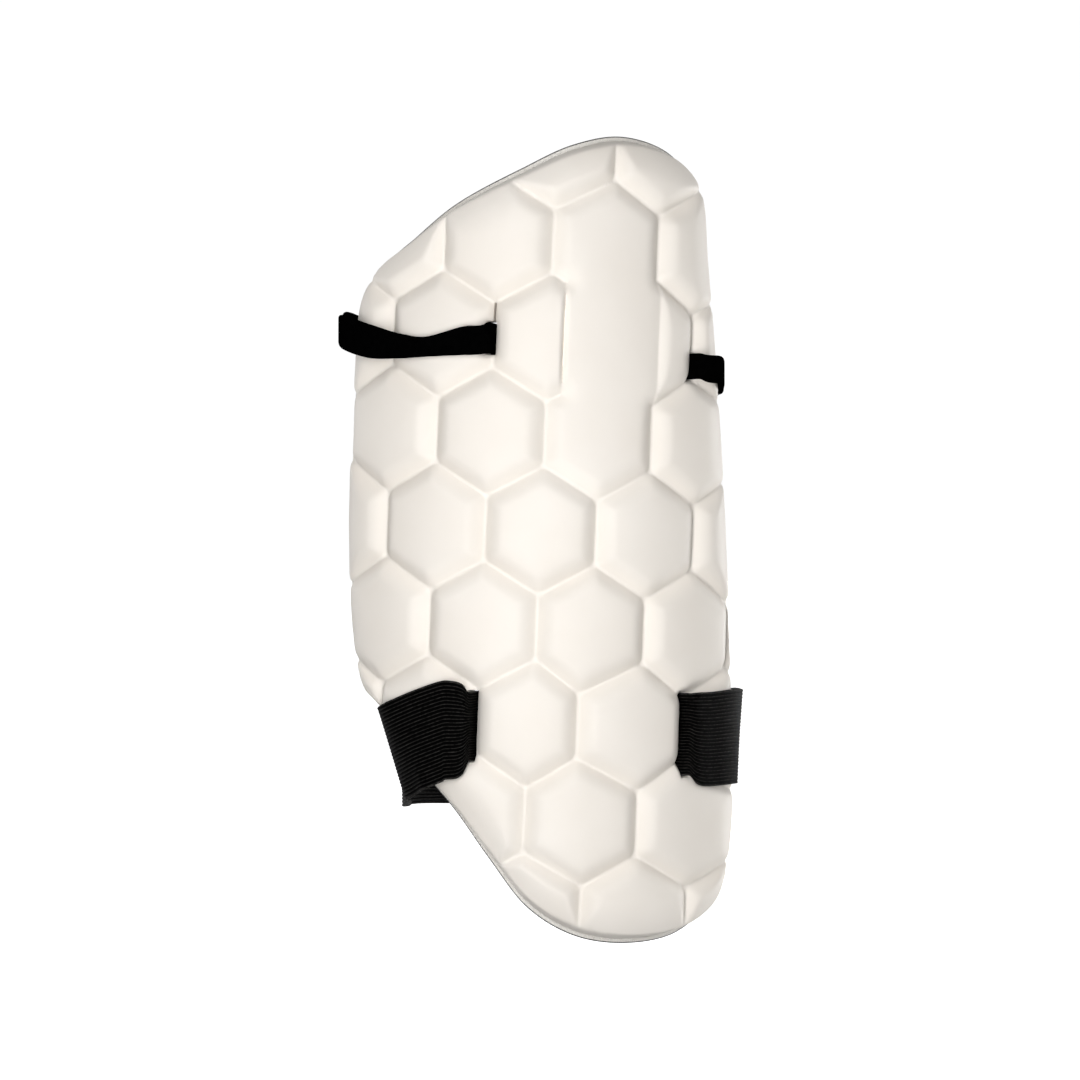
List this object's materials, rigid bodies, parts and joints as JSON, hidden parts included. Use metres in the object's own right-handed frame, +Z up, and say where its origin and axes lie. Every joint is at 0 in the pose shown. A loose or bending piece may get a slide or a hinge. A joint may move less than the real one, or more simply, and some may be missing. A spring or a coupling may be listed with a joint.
{
  "type": "thigh pad",
  "caption": "Curved thigh pad of moulded hexagon-cell foam with a bare plate, a thin backing sheet, a narrow upper strap and a wide ribbed lower elastic, held in the shape it has when worn.",
  "frame": {"origin": "on the axis of the thigh that the pad bends round, at the middle of the pad's height", "axes": "+Z up along the thigh, the pad's face towards -Y, +X to the right as seen from the front"},
  "size_m": [0.2066, 0.2235, 0.4029],
  "materials": {
    "foam_skin": "soft satin skin of moulded foam",
    "liner_cloth": "fine knitted backing cloth",
    "soft_webbing": "soft brushed webbing",
    "ribbed_elastic": "woven elastic with fine ribs along its length"
  },
  "bodies": {
    "root": {"pad_shell": "foam_skin", "back_liner": "liner_cloth", "upper_strap": "soft_webbing", "lower_strap": "ribbed_elastic"}
  },
  "joints": []
}
